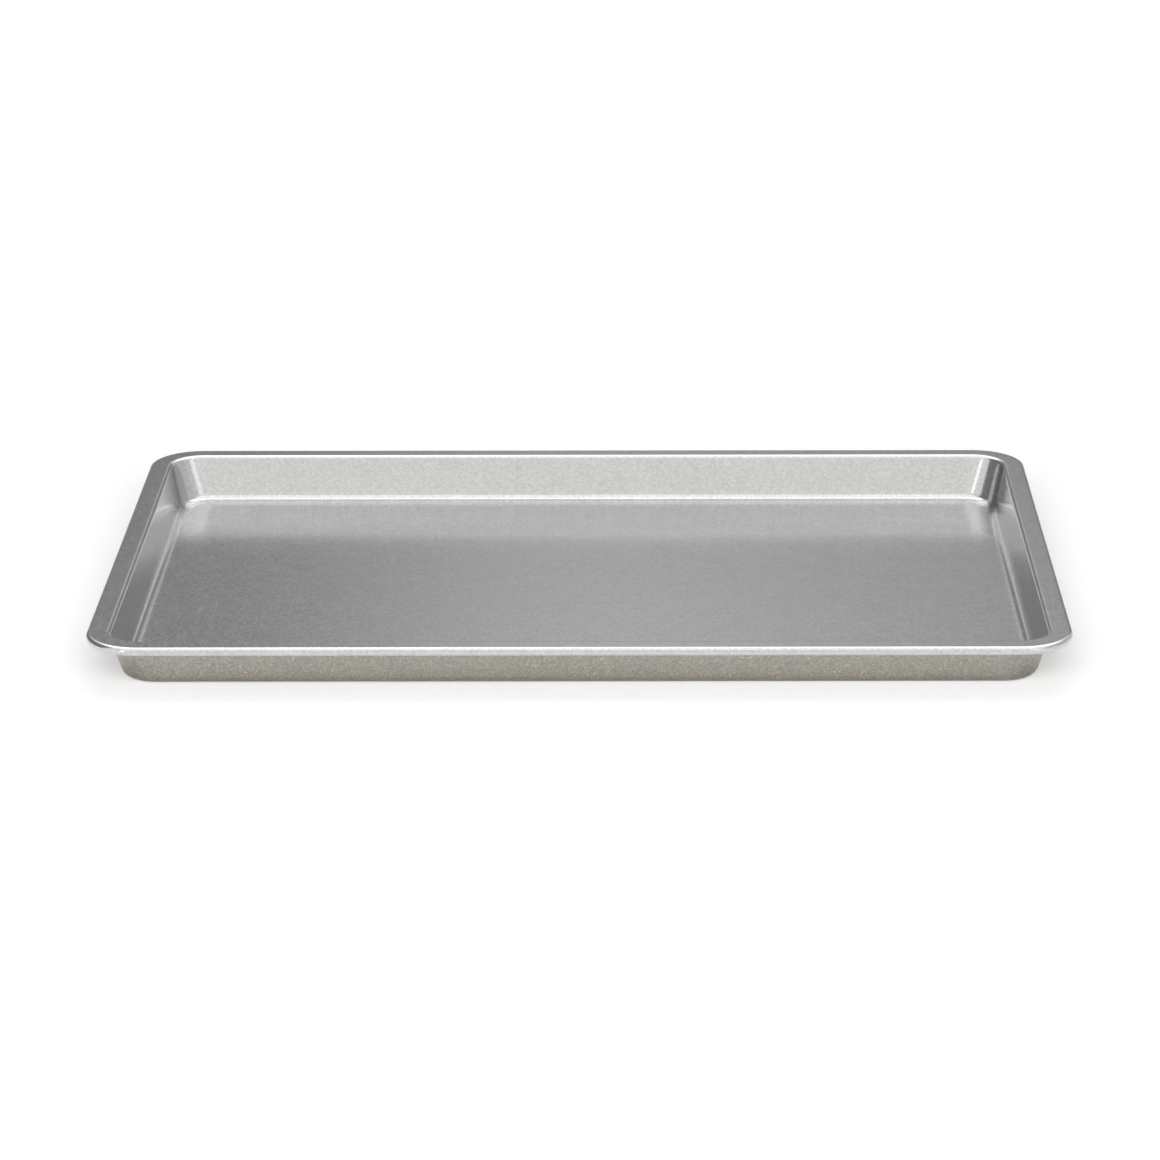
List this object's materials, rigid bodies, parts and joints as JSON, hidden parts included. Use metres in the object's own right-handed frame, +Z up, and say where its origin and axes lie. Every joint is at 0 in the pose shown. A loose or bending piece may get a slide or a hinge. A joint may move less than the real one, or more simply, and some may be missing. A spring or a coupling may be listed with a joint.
{
  "type": "jelly roll pan",
  "caption": "Shallow rectangular steel baking pan with drafted walls, rounded corners, a flat flange and a rim rolled round a stiffening wire.",
  "frame": {"origin": "centre of the underside of the floor, the face that the pan rests on", "axes": "+X along the long side, +Y from the front long side to the back one, +Z up out of the tray"},
  "size_m": [0.4006, 0.2736, 0.02],
  "materials": {
    "coated_sheet": "satin",
    "bare_wire": "satin"
  },
  "bodies": {
    "root": {"pan_body": "coated_sheet", "rim_wire": "bare_wire"}
  },
  "joints": []
}
